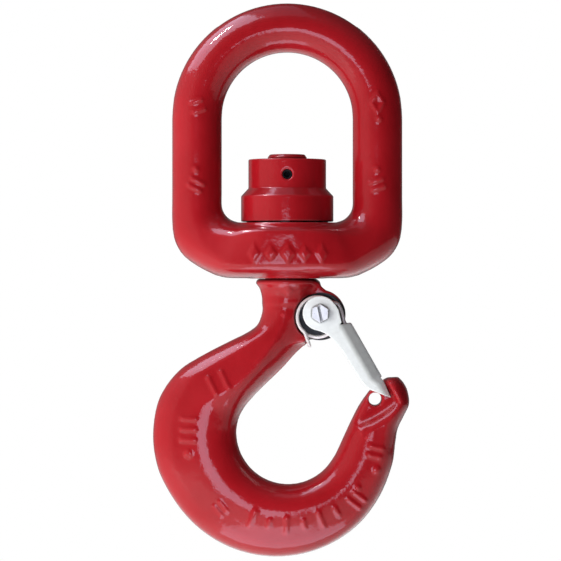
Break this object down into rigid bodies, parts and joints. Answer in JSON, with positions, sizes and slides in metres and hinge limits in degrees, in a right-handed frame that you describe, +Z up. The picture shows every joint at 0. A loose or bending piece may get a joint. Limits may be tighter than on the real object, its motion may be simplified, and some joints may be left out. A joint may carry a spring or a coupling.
{
  "type": "swivel hoist hook",
  "caption": "Ball-bearing swivel hook: forged bail, retaining nut over a thrust bearing, shank hook with tip flange and sprung safety latch.",
  "frame": {"origin": "load-bearing point: underside of the bail crown, on the swivel axis", "axes": "+Z up along the swivel axis, +X towards the hook tip and latch, +Y across the hook away from the bolt head"},
  "size_m": [0.1215, 0.051, 0.2632],
  "materials": {
    "red_enamel": "gloss",
    "zinc_sheet": "bright",
    "spring_steel": "polished wire",
    "plated_bolt": "plated",
    "bearing_steel": "ground",
    "ball_steel": "polished",
    "cage_brass": "pressed",
    "black_steel": "black oxide"
  },
  "bodies": {
    "bail": {"bail": "red_enamel", "lower_race": "bearing_steel"},
    "bearing": {"ball_cage": "cage_brass", "ball_01": "ball_steel", "ball_02": "ball_steel", "ball_03": "ball_steel", "ball_04": "ball_steel", "ball_05": "ball_steel", "ball_06": "ball_steel", "ball_07": "ball_steel", "ball_08": "ball_steel", "ball_09": "ball_steel", "ball_10": "ball_steel", "ball_11": "ball_steel", "ball_12": "ball_steel"},
    "hook": {"hook": "red_enamel", "upper_race": "bearing_steel", "retaining_nut": "red_enamel", "set_screw": "black_steel", "latch_bolt": "plated_bolt", "latch_nut": "plated_bolt", "latch_spring": "spring_steel"},
    "latch": {"latch": "zinc_sheet"}
  },
  "joints": [
    {"name": "hook_swivel", "type": "hinge", "parent": "bail", "child": "hook", "pos_m": [0, 0, -0.0805], "axis": [0, 0, 1], "continuous": true},
    {"name": "cage_orbit", "type": "hinge", "parent": "bail", "child": "bearing", "pos_m": [0, 0, -0.0753], "axis": [0, 0, 1], "continuous": true},
    {"name": "latch_pivot", "type": "hinge", "parent": "hook", "child": "latch", "pos_m": [0.0155, 0, -0.1241], "axis": [0, 1, 0], "range_deg": [0, 55], "stiffness_Nm_per_rad": 0.2, "springref_deg": -34.38, "deforming": ["latch_spring"]}
  ],
  "couplings": [
    {"joint": "cage_orbit", "follows": "hook_swivel", "ratio": 0.5}
  ]
}
